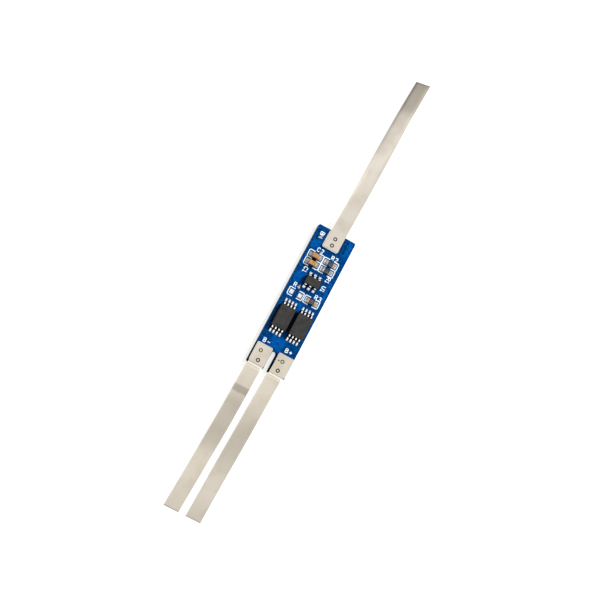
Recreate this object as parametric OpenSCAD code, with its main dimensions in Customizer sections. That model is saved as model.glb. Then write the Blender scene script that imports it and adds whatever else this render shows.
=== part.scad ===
// Two-cell battery management board: a narrow circuit board with three
// spot-welded nickel strips, one towards the cell link and two towards the cell poles.
// Origin: centre of the board's underside. +Y runs along the board towards the link
// strip, +Z points out of the component side. All sizes are millimetres.

/* [Board] */
// Width of the circuit board
board_w = 7.55; // [7.5:0.05:8.4]
// Length of the circuit board, legs included
board_l = 27.8; // [27.2:0.1:31]
// Thickness of the circuit board
board_t = 1.0; // [0.6:0.1:1.6]
// Radius of the board's four outer corners
corner_r = 0.3; // [0.1:0.05:0.6]
// Width of the slot that parts the two legs
slot_w = 0.86; // [0.5:0.02:0.9]
// Length of the slot, its round end included
slot_l = 3.7; // [2:0.1:5.5]

/* [Nickel tabs] */
// Width of the nickel tabs soldered to the board
tab_w = 2.95; // [2.4:0.05:3]
// Length of the link tab
link_tab_l = 3.15; // [2.4:0.05:3.4]
// Length of the two leg tabs
cell_tab_l = 3.55; // [2.8:0.05:3.7]
// Thickness of the nickel tabs
tab_t = 0.25; // [0.15:0.05:0.4]
// Radius of the tabs' corners
tab_r = 0.28; // [0.1:0.02:0.5]
// Thickness of the solder under a tab
tab_solder_t = 0.05; // [0.03:0.01:0.1]
// How far the solder shows around a tab
tab_solder_rim = 0.06; // [0.03:0.01:0.08]
// Distance from the board's top edge to the link tab
link_tab_inset = 0.15; // [0.1:0.05:0.4]
// Distance from the end of a leg to its tab
cell_tab_inset = 0.5; // [0.4:0.05:0.9]
// How far the negative tab sits off its leg's middle, towards +X
neg_tab_shift = 0.08; // [0:0.01:0.12]
// How far the positive tab sits off its leg's middle, towards +X
pos_tab_shift = 0.17; // [0:0.01:0.2]

/* [Nickel strips] */
// Width of the nickel strips
strip_w = 2.9; // [2.2:0.05:3]
// Thickness of the nickel strips
strip_t = 0.15; // [0.1:0.01:0.2]
// Reach of the link strip beyond the board
link_reach = 32.4; // [20:0.5:50]
// Reach of the two cell strips beyond the legs
cell_reach = 28.5; // [15:0.5:50]
// How far a strip stops short of its tab's inner end
strip_setback = 0.1; // [0:0.05:0.4]
// Clearance between a cell strip and the top edge of the leg it bends over
bend_gap = 0.06; // [0.03:0.01:0.2]
// Middle radius of the bends in the cell strips
bend_r = 0.25; // [0.2:0.01:0.5]
// Steepest slope of the cell strips at the leg's end, in degrees
bend_slope = 80; // [45:1:82]
// Height of the link strip's arch above its tab
link_arch = 1.1; // [0:0.1:4]
// Roll of the link strip at its free end, in degrees
link_roll = 30; // [0:1:40]
// Height of the low arch in the cell strips
cell_arch = 0.3; // [0:0.05:2]
// How far the link strip sits off its tab's middle, towards +X
link_shift = 0.1; // [0:0.01:0.15]
// Sideways drift of the link strip at its free end
link_drift = 0.9; // [-3:0.1:3]
// Bow of the link strip's drift, from 0.7 for bent near the tab to 2 for bent at the end
link_bow = 1.8; // [0.7:0.1:2]
// Sideways drift of the negative strip at its free end
neg_drift = -1.0; // [-3:0.1:0.4]
// Bow of the negative strip's drift
neg_bow = 1.6; // [0.7:0.1:2]
// Sideways drift of the positive strip at its free end
pos_drift = -1.0; // [-1.4:0.1:3]
// Bow of the positive strip's drift
pos_bow = 0.8; // [0.7:0.1:2]
// Spacing of the two weld spots on the link tab
link_weld_spacing = 1.28; // [1.1:0.02:1.6]
// Distance from the board's top edge to the first weld spot on the link tab
link_weld_inset = 1.22; // [0.7:0.02:1.4]
// Spacing of the two weld spots on a leg tab
cell_weld_spacing = 1.76; // [1.2:0.02:2]
// Distance from a leg tab's inner end to its first weld spot
cell_weld_inset = 1.22; // [0.6:0.02:1.3]
// How far the negative strip's first weld spot sits off the tab's middle, towards -X
neg_weld_shift = 0.38; // [0:0.01:0.5]
// How far the positive strip's weld spots sit off the tab's middle, towards -X
pos_weld_shift = 0.32; // [0:0.01:0.5]
// Outer diameter of a weld spot
weld_d = 0.78; // [0.5:0.02:1]
// Depth of the ring pressed in by the welding electrode
weld_depth = 0.05; // [0.02:0.01:0.08]

/* [Power transistors] */
// Width of the moulded body, across the row of leads
fet_body_w = 2.9; // [2.8:0.05:3.2]
// Length of the moulded body, from lead row to lead row
fet_body_l = 4.25; // [4.2:0.05:4.6]
// Thickness of the moulded body
fet_body_h = 0.98; // [0.8:0.02:1.2]
// Span over the leads
fet_span = 6.4; // [6.2:0.05:6.8]
// Pitch of the leads
fet_pitch = 0.65; // [0.6:0.01:0.7]
// Leads on each side
fet_leads = 4; // [3:1:4]
// Width of a lead
fet_lead_w = 0.25; // [0.2:0.01:0.32]
// Centre distance of the two transistors
fet_spacing = 3.46; // [3.3:0.02:3.6]
// Place of the transistors' centre along the board, as a share of its length
fet_place = 0.6457; // [0.635:0.001:0.655]
// Sideways shift of the transistor pair
fet_shift = 0.1; // [-0.1:0.05:0.15]

/* [Protection chip] */
// Length of the moulded body, along the row of leads
ic_body_w = 2.9; // [2.7:0.05:3.1]
// Width of the moulded body, from lead row to lead row
ic_body_l = 1.65; // [1.5:0.05:1.8]
// Thickness of the moulded body
ic_body_h = 1.1; // [0.8:0.02:1.3]
// Span over the leads
ic_span = 2.85; // [2.7:0.05:3.1]
// Pitch of the leads
ic_pitch = 0.95; // [0.9:0.01:1]
// Leads on each side
ic_leads = 3; // [2:1:3]
// Width of a lead
ic_lead_w = 0.38; // [0.3:0.01:0.5]
// Place of the chip's centre along the board, as a share of its length
ic_place = 0.3597; // [0.355:0.001:0.37]
// Sideways place of the chip
ic_x = 0; // [-0.4:0.05:0.4]

/* [Moulded packages] */
// Gap between a moulded body and the solder pads' level
body_lift = 0.08; // [0.04:0.01:0.15]
// Draft of the moulded sides, in degrees
mould_draft = 12; // [3:1:15]
// Thickness of the leads
lead_t = 0.15; // [0.1:0.01:0.2]
// Middle radius of the bends in the leads
lead_r = 0.16; // [0.12:0.01:0.2]
// Length of a transistor lead's flat foot
fet_foot = 0.42; // [0.3:0.01:0.5]
// Length of a chip lead's flat foot
ic_foot = 0.2; // [0.15:0.01:0.26]
// Diameter of the pin 1 dimple
dimple_d = 0.5; // [0.3:0.05:0.6]
// Depth of the pin 1 dimple
dimple_depth = 0.05; // [0.02:0.01:0.1]

/* [Chip capacitors and resistors] */
// Length of a capacitor
cap_l = 1.68; // [1.5:0.02:1.8]
// Width of a capacitor
cap_w = 0.84; // [0.7:0.02:0.9]
// Height of a capacitor
cap_h = 0.82; // [0.6:0.02:0.95]
// Length of a capacitor's end cap
cap_end = 0.16; // [0.12:0.01:0.4]
// Length of a resistor
res_l = 1.6; // [1.5:0.02:1.7]
// Width of a resistor
res_w = 0.8; // [0.7:0.02:0.9]
// Thickness of a resistor's ceramic
res_h = 0.4; // [0.3:0.02:0.5]
// Length of a resistor's end cap
res_end = 0.32; // [0.2:0.01:0.4]
// Thickness of the end caps' metal
end_t = 0.04; // [0.02:0.01:0.06]
// Sideways place of the left column of chips
left_x = -1.64; // [-1.7:0.02:-1.6]
// Sideways place of the upper two resistors
upper_x = 1.36; // [1.34:0.02:1.5]
// Sideways place of the lowest resistor
lower_x = 1.56; // [1.5:0.02:1.6]
// Place of the first row of chips along the board, as a share of its length
row_1_place = 0.1986; // [0.19:0.001:0.202]
// Distance from the first row of chips to the second
row_pitch = 1.43; // [1.4:0.01:1.5]
// Place of the third row of chips along the board, as a share of its length
row_3_place = 0.473; // [0.465:0.001:0.48]

/* [Pads and solder] */
// Thickness of the tinned copper pads
pad_t = 0.04; // [0.02:0.01:0.06]
// Length of a chip pad, along the chip
chip_pad_l = 0.76; // [0.7:0.02:0.86]
// Width of a chip pad
chip_pad_w = 0.86; // [0.8:0.02:0.94]
// Bare gap between the two pads of a chip
chip_pad_gap = 0.92; // [0.8:0.02:1]
// How far a lead's pad reaches past the lead's toe
lead_pad_toe = 0.14; // [0.1:0.01:0.35]
// How far a lead's pad reaches behind the lead's foot
lead_pad_heel = 0.12; // [0.05:0.01:0.15]
// How much wider a lead's pad is than the lead, as a share of the lead's width
lead_pad_extra = 0.28; // [0.2:0.01:0.5]
// Height of the solder fillet at a lead's toe
toe_fillet = 0.13; // [0.06:0.01:0.14]
// Reach of the solder fillet at a chip's end
end_fillet = 0.34; // [0.2:0.01:0.4]
// Height of the solder crown on an empty pad
crown_h = 0.1; // [0.05:0.01:0.15]
// Width of the two output pads on the underside
output_pad_w = 2.6; // [1.5:0.1:3]
// Length of the two output pads on the underside
output_pad_l = 2.4; // [1.5:0.1:4]
// Place of the output pads' centre along the board, as a share of its length
output_place = 0.34; // [0.2:0.01:0.65]

/* [Printed legend] */
// Length of the printed frame round a chip
frame_l = 3.08; // [2.9:0.02:3.1]
// Width of a printed line
line_w = 0.15; // [0.1:0.01:0.18]
// Thickness of the print
print_t = 0.02; // [0.01:0.01:0.03]
// Gap in the middle of a frame's long sides
frame_gap = 0.85; // [0.6:0.05:1.6]
// Corner radius of a printed frame
frame_r = 0.3; // [0.2:0.02:0.5]

/* [Hidden] */
$fn = 48;

half_w = board_w / 2;
top_y = board_l / 2;
leg_y = -board_l / 2;
pad_z = board_t + pad_t;
tab_z = pad_z + tab_solder_t;
weld_z = tab_z + tab_t;
leg_x = (half_w + slot_w / 2) / 2;
eps = 0.01;

// Places of the three tabs' centres, from the link tab round to the positive one
cell_tab_y = leg_y + cell_tab_inset + cell_tab_l / 2;
link_tab_at = [0, top_y - link_tab_inset - link_tab_l / 2];
neg_tab_at = [neg_tab_shift - leg_x, cell_tab_y];
pos_tab_at = [pos_tab_shift + leg_x, cell_tab_y];
tab_places = [[link_tab_at, link_tab_l], [neg_tab_at, cell_tab_l], [pos_tab_at, cell_tab_l]];

// Places of the weld spots along the board
link_welds_y = [top_y - link_weld_inset, top_y - link_weld_inset - link_weld_spacing];
first_cell_weld_y = cell_tab_y + cell_tab_l / 2 - cell_weld_inset;
last_cell_weld_y = first_cell_weld_y - cell_weld_spacing;
link_welds = [for (y = link_welds_y) [link_tab_at.x, y]];
neg_welds = [[neg_tab_at.x - neg_weld_shift, first_cell_weld_y], [neg_tab_at.x, last_cell_weld_y]];
pos_welds = [for (y = [first_cell_weld_y, last_cell_weld_y]) [pos_tab_at.x - pos_weld_shift, y]];

// Places of the moulded packages and of the chips
function along_board(place) = top_y - place * board_l;
fet_y = along_board(fet_place);
row_1_y = along_board(row_1_place);
row_2_y = row_1_y - row_pitch;
row_3_y = along_board(row_3_place);
fet_1_at = [fet_shift - fet_spacing / 2, fet_y];
fet_2_at = [fet_shift + fet_spacing / 2, fet_y];
ic_at = [ic_x, along_board(ic_place)];
cap_1_at = [left_x, row_2_y];
cap_2_at = [left_x, row_1_y];
res_1_at = [upper_x, row_2_y];
res_2_at = [upper_x, row_1_y];
res_3_at = [lower_x, row_3_y];
spare_at = [left_x, row_3_y];
chips_at = [cap_1_at, cap_2_at, res_1_at, res_2_at, res_3_at, spare_at];

// The printed frames of two chips, one above the other, share a line
frame_w = row_pitch + line_w;

nickel = [0.86, 0.83, 0.77];
tin = [0.88, 0.88, 0.9];
mask_blue = [0.02, 0.3, 0.65];
mould_black = [0.18, 0.18, 0.18];
ceramic_tan = [0.78, 0.58, 0.36];
alumina = [0.9, 0.89, 0.85];
coat_black = [0.08, 0.08, 0.09];
print_white = [0.95, 0.97, 0.98];

// ---- Shared shapes ----

// Flat rectangle with round corners, centred, made of circles and squares
module round_rect(w, l, r) {
  square([w - 2 * r, l], center = true);
  square([w, l - 2 * r], center = true);
  for (x = [-1, 1], y = [-1, 1])
    translate([x * (w / 2 - r), y * (l / 2 - r)]) circle(r);
}

// Ring sector between two angles, swept anticlockwise from the first one
module arc_band(r, t, from, to) {
  far = 2 * (r + t);
  mid = (from + to) / 2;
  intersection() {
    difference() {
      circle(r + t / 2);
      circle(r - t / 2);
    }
    polygon([[0, 0], far * [cos(from), sin(from)], far * [cos(mid), sin(mid)],
             far * [cos(to), sin(to)]]);
  }
}

// Block whose upright sides lean from level to level. A level is a height and how far
// the four sides stand in from the full width and length there.
module stepped_block(w, l, levels) {
  n = len(levels);
  points = [
    for (v = levels)
      each [for (c = [[-1, -1], [1, -1], [1, 1], [-1, 1]])
        [c.x * (w / 2 - v[1]), c.y * (l / 2 - v[1]), v[0]]]
  ];
  sides = [for (i = [0 : n - 2], k = [0 : 3])
    [4 * i + k, 4 * i + 4 + k, 4 * i + 4 + (k + 1) % 4, 4 * i + (k + 1) % 4]];
  polyhedron(points, concat([[0, 1, 2, 3], [for (k = [3 : -1 : 0]) 4 * n - 4 + k]], sides));
}

// Concave solder fillet: a corner whose hollow side is a quarter circle
module fillet_profile(reach, height) {
  r = max(reach, height) * 1.1;
  difference() {
    square([reach, height]);
    translate([r, r]) circle(r);
  }
}

// ---- Board, pads and print ----

module pcb() {
  color(mask_blue) difference() {
    linear_extrude(board_t) difference() {
      round_rect(board_w, board_l, corner_r);
      translate([-slot_w / 2, leg_y - eps]) square([slot_w, slot_l - slot_w / 2 + eps]);
      translate([0, leg_y + slot_l - slot_w / 2]) circle(d = slot_w);
    }
    output_pad_places() translate([0, 0, -eps])
      linear_extrude(pad_t + eps) square([output_pad_w, output_pad_l], center = true);
  }
}

// The two output pads, side by side on the underside
module output_pad_places() {
  for (side = [-1, 1])
    translate([side * half_w / 2, along_board(output_place), 0]) children();
}

module output_pads() {
  color(tin) output_pad_places()
    linear_extrude(pad_t) square([output_pad_w, output_pad_l], center = true);
}

// The two ends of a chip, each turned so that +X points away from the chip
module chip_sides(at) {
  for (turn = [0, 180]) translate([at.x, at.y, 0]) rotate(turn) children();
}

// The leads of a package, each turned so that +X points out along the lead
module lead_places(at, count, pitch) {
  for (turn = [90, 270], i = [0 : count - 1])
    translate([at.x + (i - (count - 1) / 2) * pitch, at.y, 0]) rotate(turn) children();
}

module lead_pad(span, foot, lead_w) {
  outer = span / 2 + lead_pad_toe;
  inner = span / 2 - foot - lead_pad_heel;
  w = lead_w * (1 + lead_pad_extra);
  translate([inner, -w / 2, board_t]) cube([outer - inner, w, pad_t]);
}

module solder_pads() {
  color(tin) {
    for (at = chips_at) chip_sides(at)
      translate([chip_pad_gap / 2, -chip_pad_w / 2, board_t])
        cube([chip_pad_l, chip_pad_w, pad_t]);
    for (at = [fet_1_at, fet_2_at]) lead_places(at, fet_leads, fet_pitch)
      lead_pad(fet_span, fet_foot, fet_lead_w);
    lead_places(ic_at, ic_leads, ic_pitch) lead_pad(ic_span, ic_foot, ic_lead_w);
    for (tab = tab_places) translate([tab[0].x, tab[0].y, board_t])
      linear_extrude(pad_t)
        round_rect(tab_w + 2 * tab_solder_rim, tab[1] + 2 * tab_solder_rim, tab_r);
  }
}

// A frame is two brackets that face each other round a chip
module printed_frames() {
  color(print_white) translate([0, 0, board_t]) linear_extrude(print_t)
    for (at = chips_at) translate(at) difference() {
      round_rect(frame_l, frame_w, frame_r);
      round_rect(frame_l - 2 * line_w, frame_w - 2 * line_w, frame_r - line_w);
      square([frame_gap, 2 * frame_w], center = true);
    }
}

// Low pillow of solder on each of the two empty pads, with a hip up each corner
module pad_crowns() {
  shares = [[0, 0.02], [0.45, 0.1], [0.8, 0.22], [0.95, 0.32], [1, 0.42]];
  color(tin) chip_sides(spare_at)
    translate([chip_pad_gap / 2 + chip_pad_l / 2, 0, pad_z])
      stepped_block(chip_pad_l, chip_pad_w,
                    [for (s = shares) [s[0] * crown_h, s[1] * chip_pad_l]]);
}

// ---- Nickel tabs and strips ----

module tab(at, l) {
  color(nickel) translate([at.x, at.y, tab_z])
    linear_extrude(tab_t) round_rect(tab_w, l, tab_r);
}

module tab_solder() {
  color(tin) for (tab = tab_places) translate([tab[0].x, tab[0].y, pad_z])
    linear_extrude(tab_solder_t)
      round_rect(tab_w + tab_solder_rim, tab[1] + tab_solder_rim, tab_r);
}

// A strip is a list of stations. Each one holds the distance along the strip, the
// height of its middle, its sideways place, its pitch and its roll.
function station(along, height, side, pitch, roll) = [along, height, side, pitch, roll];

// Smooth step from 0 to 1 and a smooth hump that is flat at both of its ends
function ease(u) = u * u * (3 - 2 * u);
function hump(u) = u <= 0 || u >= 1 ? 0 : pow(sin(180 * u), 2);

// The four corners of a strip's section, as seen along the strip
function strip_ring(s) = [
  for (c = [[-1, -1], [1, -1], [1, 1], [-1, 1]])
    let(across = c.x * strip_w / 2, up = c.y * strip_t / 2)
    [s[2] + across * cos(s[4]) - up * sin(s[4]),
     s[0] - up * cos(s[4]) * sin(s[3]),
     s[1] + across * sin(s[4]) + up * cos(s[4]) * cos(s[3])]
];

// Closed skin over the rings of a strip
module strip_skin(stations) {
  n = len(stations);
  points = [for (s = stations) each strip_ring(s)];
  // Upper and lower faces are split along the same diagonal, so a rolled strip keeps
  // its thickness
  sides = [
    for (i = [0 : n - 2], k = [0 : 3])
      let(a = 4 * i + k, b = 4 * i + (k + 1) % 4) each
      k < 2 ? [[a, a + 4, b + 4], [a, b + 4, b]] : [[a, a + 4, b], [a + 4, b + 4, b]]
  ];
  ends = [[0, 1, 2], [0, 2, 3],
          [4 * n - 4, 4 * n - 2, 4 * n - 3], [4 * n - 4, 4 * n - 1, 4 * n - 2]];
  polyhedron(points, concat(sides, ends), convexity = 6);
}

// Ring groove left round a weld spot, open at the top
module weld_ring(x, y, z) {
  translate([x, y, z]) rotate_extrude()
    polygon([[weld_d * 0.22, strip_t], [weld_d * 0.3, -weld_depth],
             [weld_d * 0.42, -weld_depth], [weld_d * 0.5, strip_t]]);
}

// A strip with the two weld spots that hold it on its tab
module strip(welds) {
  color(nickel) difference() {
    children();
    for (at = welds) weld_ring(at.x, at.y, weld_z + strip_t);
  }
}

// Link strip: flat on its tab, then a long arch that rolls onto its left edge
link_start = link_tab_at.y - link_tab_l / 2 + strip_setback;
link_mid_z = weld_z + strip_t / 2;
link_end_z = strip_w / 2 * sin(link_roll) + strip_t / 2 * cos(link_roll);
link_steps = 40;
link_stations = concat(
  [station(link_start, link_mid_z, link_shift, 0, 0)],
  [for (i = [0 : link_steps])
    let(u = i / link_steps)
    station(top_y + u * link_reach,
            link_mid_z + (link_end_z - link_mid_z) * ease(u) + link_arch * hump(pow(u, 0.6)),
            link_shift + link_drift * pow(u, link_bow), 0, link_roll * ease(u))]
);

// Cell strips: flat on the tab, over the leg's end in two bends, then along the ground
flat_z = strip_t / 2;
drop = weld_z + strip_t / 2 - flat_z;
bend_run = bend_r * sin(bend_slope);
slope_run = (drop - 2 * bend_r * (1 - cos(bend_slope))) / tan(bend_slope);
bend_start = (bend_gap - bend_r + strip_t / 2
              + (board_t - drop - flat_z + bend_r) * cos(bend_slope)) / sin(bend_slope);
bend_end = bend_start + 2 * bend_run + slope_run;
bend_steps = 8;
cell_steps = 28;

function cell_stations(tab_at, drift, bow) =
  let(inner = tab_at.y + cell_tab_l / 2 - strip_setback,
      on_leg = inner - leg_y,
      side = function(out)
        tab_at.x + drift * pow((out + on_leg) / (cell_reach + on_leg), bow))
  concat(
    [station(-inner, drop + flat_z, tab_at.x, 0, 0)],
    [for (i = [0 : bend_steps])
      let(a = bend_slope * i / bend_steps, out = bend_start + bend_r * sin(a))
      station(out - leg_y, drop + flat_z - bend_r * (1 - cos(a)), side(out), -a, 0)],
    [for (i = [0 : bend_steps])
      let(a = bend_slope * (1 - i / bend_steps), out = bend_end - bend_r * sin(a))
      station(out - leg_y, flat_z + bend_r * (1 - cos(a)), side(out), -a, 0)],
    [for (i = [1 : cell_steps])
      let(u = i / cell_steps, out = bend_end + u * (cell_reach - bend_end))
      station(out - leg_y, flat_z + cell_arch * hump((u - 0.05) / 0.7), side(out), 0, 0)]
  );

module link_strip() { strip(link_welds) strip_skin(link_stations); }

// The cell strips run towards -Y, so their stations are mirrored
module cell_strip(tab_at, welds, drift, bow) {
  strip(welds)
    mirror([0, 1, 0]) strip_skin(cell_stations(tab_at, drift, bow));
}

// ---- Moulded packages ----

// Body with drafted sides above and below a straight band at the leads' height
module moulded_body(at, w, l, h) {
  band_z = (h - lead_t) / 2;
  inset = band_z * tan(mould_draft);
  color(mould_black) translate([at.x, at.y, pad_z + body_lift]) difference() {
    stepped_block(w, l, [[0, inset], [band_z, 0], [band_z + lead_t, 0], [h, inset]]);
    translate([-w / 2 + inset + dimple_d, -l / 2 + inset + dimple_d, h - dimple_depth])
      cylinder(d = dimple_d, h = 1);
  }
}

// Gull-wing lead along +X: shoulder, two bends and a flat foot
module lead_profile(body_l, body_h, span, foot) {
  shoulder_z = pad_z + body_lift + body_h / 2;
  foot_z = pad_z + lead_t / 2;
  knee_x = span / 2 - foot - 2 * lead_r;
  translate([body_l / 2, shoulder_z - lead_t / 2]) square([knee_x - body_l / 2, lead_t]);
  translate([knee_x, shoulder_z - lead_r]) arc_band(lead_r, lead_t, 0, 90);
  translate([knee_x + lead_r - lead_t / 2, foot_z + lead_r])
    square([lead_t, shoulder_z - foot_z - 2 * lead_r]);
  translate([knee_x + 2 * lead_r, foot_z + lead_r]) arc_band(lead_r, lead_t, 180, 270);
  translate([span / 2 - foot, pad_z]) square([foot, lead_t]);
}

module leads(at, count, pitch, body_l, body_h, span, foot, lead_w) {
  color(tin) lead_places(at, count, pitch)
    translate([0, lead_w / 2, 0]) rotate([90, 0, 0])
      linear_extrude(lead_w) lead_profile(body_l, body_h, span, foot);
}

// Solder at the toe of each lead
module toe_solder(at, count, pitch, span, lead_w) {
  w = lead_w * (1 + lead_pad_extra / 2);
  color(tin) lead_places(at, count, pitch)
    translate([span / 2, w / 2, pad_z]) rotate([90, 0, 0])
      linear_extrude(w) fillet_profile(lead_pad_toe * 0.8, toe_fillet);
}

module fet_body(at) { moulded_body(at, fet_body_w, fet_body_l, fet_body_h); }

module fet_leads_at(at) {
  leads(at, fet_leads, fet_pitch, fet_body_l, fet_body_h, fet_span, fet_foot, fet_lead_w);
}

module fet_solder(at) { toe_solder(at, fet_leads, fet_pitch, fet_span, fet_lead_w); }

module chip_body() { moulded_body(ic_at, ic_body_w, ic_body_l, ic_body_h); }

module chip_leads() {
  leads(ic_at, ic_leads, ic_pitch, ic_body_l, ic_body_h, ic_span, ic_foot, ic_lead_w);
}

module chip_solder() { toe_solder(ic_at, ic_leads, ic_pitch, ic_span, ic_lead_w); }

// ---- Capacitors and resistors ----

// Cup of metal that wraps one end of a chip on five sides, open towards the middle
module end_cap(l, w, h, end) {
  difference() {
    translate([l / 2 - end, -w / 2, 0]) cube([end, w, h]);
    translate([l / 2 - end - eps, -w / 2 + end_t, end_t])
      cube([end - end_t + eps, w - 2 * end_t, h - 2 * end_t]);
  }
}

module chip_core(at, l, w, h, paint) {
  color(paint) translate([at.x, at.y, pad_z + h / 2])
    cube([l - 2 * end_t, w - 2 * end_t, h - 2 * end_t], center = true);
}

module chip_ends(at, l, w, h, end) {
  color(tin) translate([0, 0, pad_z]) chip_sides(at) end_cap(l, w, h, end);
}

module cap_ceramic(at) { chip_core(at, cap_l, cap_w, cap_h, ceramic_tan); }
module cap_ends(at) { chip_ends(at, cap_l, cap_w, cap_h, cap_end); }
module res_ceramic(at) { chip_core(at, res_l, res_w, res_h, alumina); }
module res_ends(at) { chip_ends(at, res_l, res_w, res_h, res_end); }

// Dark protective coat over the resistor film, between the two end caps
module res_coat(at) {
  color(coat_black) translate([at.x, at.y, pad_z + res_h - end_t])
    linear_extrude(end_t) square([res_l - 2 * res_end, res_w - 2 * end_t], center = true);
}

module end_solder(at, l, w, h) {
  reach = min(end_fillet, chip_pad_gap / 2 + chip_pad_l - l / 2);
  color(tin) chip_sides(at)
    translate([l / 2, w / 2, pad_z]) rotate([90, 0, 0])
      linear_extrude(w) fillet_profile(reach, h * 0.7);
}

module cap_solder() {
  for (at = [cap_1_at, cap_2_at]) end_solder(at, cap_l, cap_w, cap_h);
}

module res_solder() {
  for (at = [res_1_at, res_2_at, res_3_at]) end_solder(at, res_l, res_w, res_h);
}

pcb();
solder_pads();
output_pads();
printed_frames();
tab(link_tab_at, link_tab_l);  // link_tab
tab(neg_tab_at, cell_tab_l);  // neg_tab
tab(pos_tab_at, cell_tab_l);  // pos_tab
tab_solder();
link_strip();
cell_strip(neg_tab_at, neg_welds, neg_drift, neg_bow);  // neg_strip
cell_strip(pos_tab_at, pos_welds, pos_drift, pos_bow);  // pos_strip
fet_body(fet_1_at);  // fet_1_body
fet_leads_at(fet_1_at);  // fet_1_leads
fet_solder(fet_1_at);  // fet_1_solder
fet_body(fet_2_at);  // fet_2_body
fet_leads_at(fet_2_at);  // fet_2_leads
fet_solder(fet_2_at);  // fet_2_solder
chip_body();
chip_leads();
chip_solder();
cap_ceramic(cap_1_at);  // cap_1_ceramic
cap_ends(cap_1_at);  // cap_1_ends
cap_ceramic(cap_2_at);  // cap_2_ceramic
cap_ends(cap_2_at);  // cap_2_ends
res_ceramic(res_1_at);  // res_1_ceramic
res_ends(res_1_at);  // res_1_ends
res_coat(res_1_at);  // res_1_coat
res_ceramic(res_2_at);  // res_2_ceramic
res_ends(res_2_at);  // res_2_ends
res_coat(res_2_at);  // res_2_coat
res_ceramic(res_3_at);  // res_3_ceramic
res_ends(res_3_at);  // res_3_ends
res_coat(res_3_at);  // res_3_coat
cap_solder();
res_solder();
pad_crowns();
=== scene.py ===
"""Looks of the battery management board: finishes, detailed pieces, studio and camera."""

import logging
import math
from dataclasses import dataclass
from enum import Enum
from functools import cached_property
from typing import Callable, Sequence

import bpy
from mathutils import Matrix, Vector


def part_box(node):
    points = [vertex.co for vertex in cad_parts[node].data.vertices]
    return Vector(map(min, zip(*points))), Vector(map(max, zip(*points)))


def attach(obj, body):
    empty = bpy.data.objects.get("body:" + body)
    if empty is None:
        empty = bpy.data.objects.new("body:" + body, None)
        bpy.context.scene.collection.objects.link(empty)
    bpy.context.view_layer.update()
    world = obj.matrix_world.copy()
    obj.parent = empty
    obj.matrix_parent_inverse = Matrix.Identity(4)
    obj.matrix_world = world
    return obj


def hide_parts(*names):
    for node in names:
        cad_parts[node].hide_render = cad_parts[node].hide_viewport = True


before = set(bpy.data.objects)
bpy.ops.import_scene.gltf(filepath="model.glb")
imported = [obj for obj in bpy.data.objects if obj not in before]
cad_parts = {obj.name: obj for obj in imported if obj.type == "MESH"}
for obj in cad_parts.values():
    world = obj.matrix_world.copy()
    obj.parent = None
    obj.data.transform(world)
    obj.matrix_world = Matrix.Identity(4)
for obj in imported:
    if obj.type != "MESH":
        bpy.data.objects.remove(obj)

MM = 0.001
NEAR = 0.0005  # millimetres within which two places count as the same
Number = float | int
Piece = bpy.types.Object
Socket = bpy.types.NodeSocket
Material = bpy.types.Material
Triple = tuple[float, float, float]
Colour = Triple
Corners = tuple[float, float, float, float]
log = logging.getLogger("management_board")


class Axis(Enum):
    """The axes that a rotation or a mask may take."""

    X = 0
    Y = 1
    Z = 2


class Part(Enum):
    """The parts of a mesh that edit mode can select, as its select modes."""

    VERTEX = (True, False, False)
    EDGE = (False, True, False)
    FACE = (False, False, True)


class Reading(Enum):
    """How a printed line runs: its turn in degrees and its pitch as a share of its height."""

    UPRIGHT = (0.0, 1.08)
    DOWNWARD = (-90.0, 0.86)


def place(x: Number, y: Number, z: Number) -> Vector:
    """A place or a way that is given in millimetres, in metres."""
    return Vector((x, y, z)) * MM


# ---- shader maths


def maths(operation: str, swapped: bool = False) -> Callable[..., "Value"]:
    """Makes an operator of Value that adds a Math node.

    Args:
        operation: what the node works out.
        swapped: whether the terms change places, as in 1 - mask.

    Returns:
        The operator, for one or two terms.
    """

    def work_out(*terms: "Value | Number") -> "Value":
        """Adds the node over the terms, the first of which is a Value."""
        sockets = dict(enumerate(reversed(terms) if swapped else terms))
        return terms[0].shader.value("Math", {"operation": operation}, sockets)

    return work_out


class Value:
    """One number socket of a node tree that takes part in Python arithmetic."""

    __add__ = __radd__ = maths("ADD")
    __sub__ = maths("SUBTRACT")
    __rsub__ = maths("SUBTRACT", swapped=True)
    __mul__ = __rmul__ = maths("MULTIPLY")
    __truediv__ = maths("DIVIDE")
    __abs__ = maths("ABSOLUTE")
    larger = maths("MAXIMUM")

    def __init__(self, shader: "Shader", socket: Socket) -> None:
        """Wraps an output socket of a shader."""
        self.shader = shader
        self.socket = socket

    def step(self, low: float, high: float) -> "Value":
        """Eased step, 0 at the low number and 1 at the high one."""
        sockets = {0: self, 1: low, 2: high, 3: 0.0, 4: 1.0}
        return self.shader.value("MapRange", {"interpolation_type": "SMOOTHSTEP"}, sockets)


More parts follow.
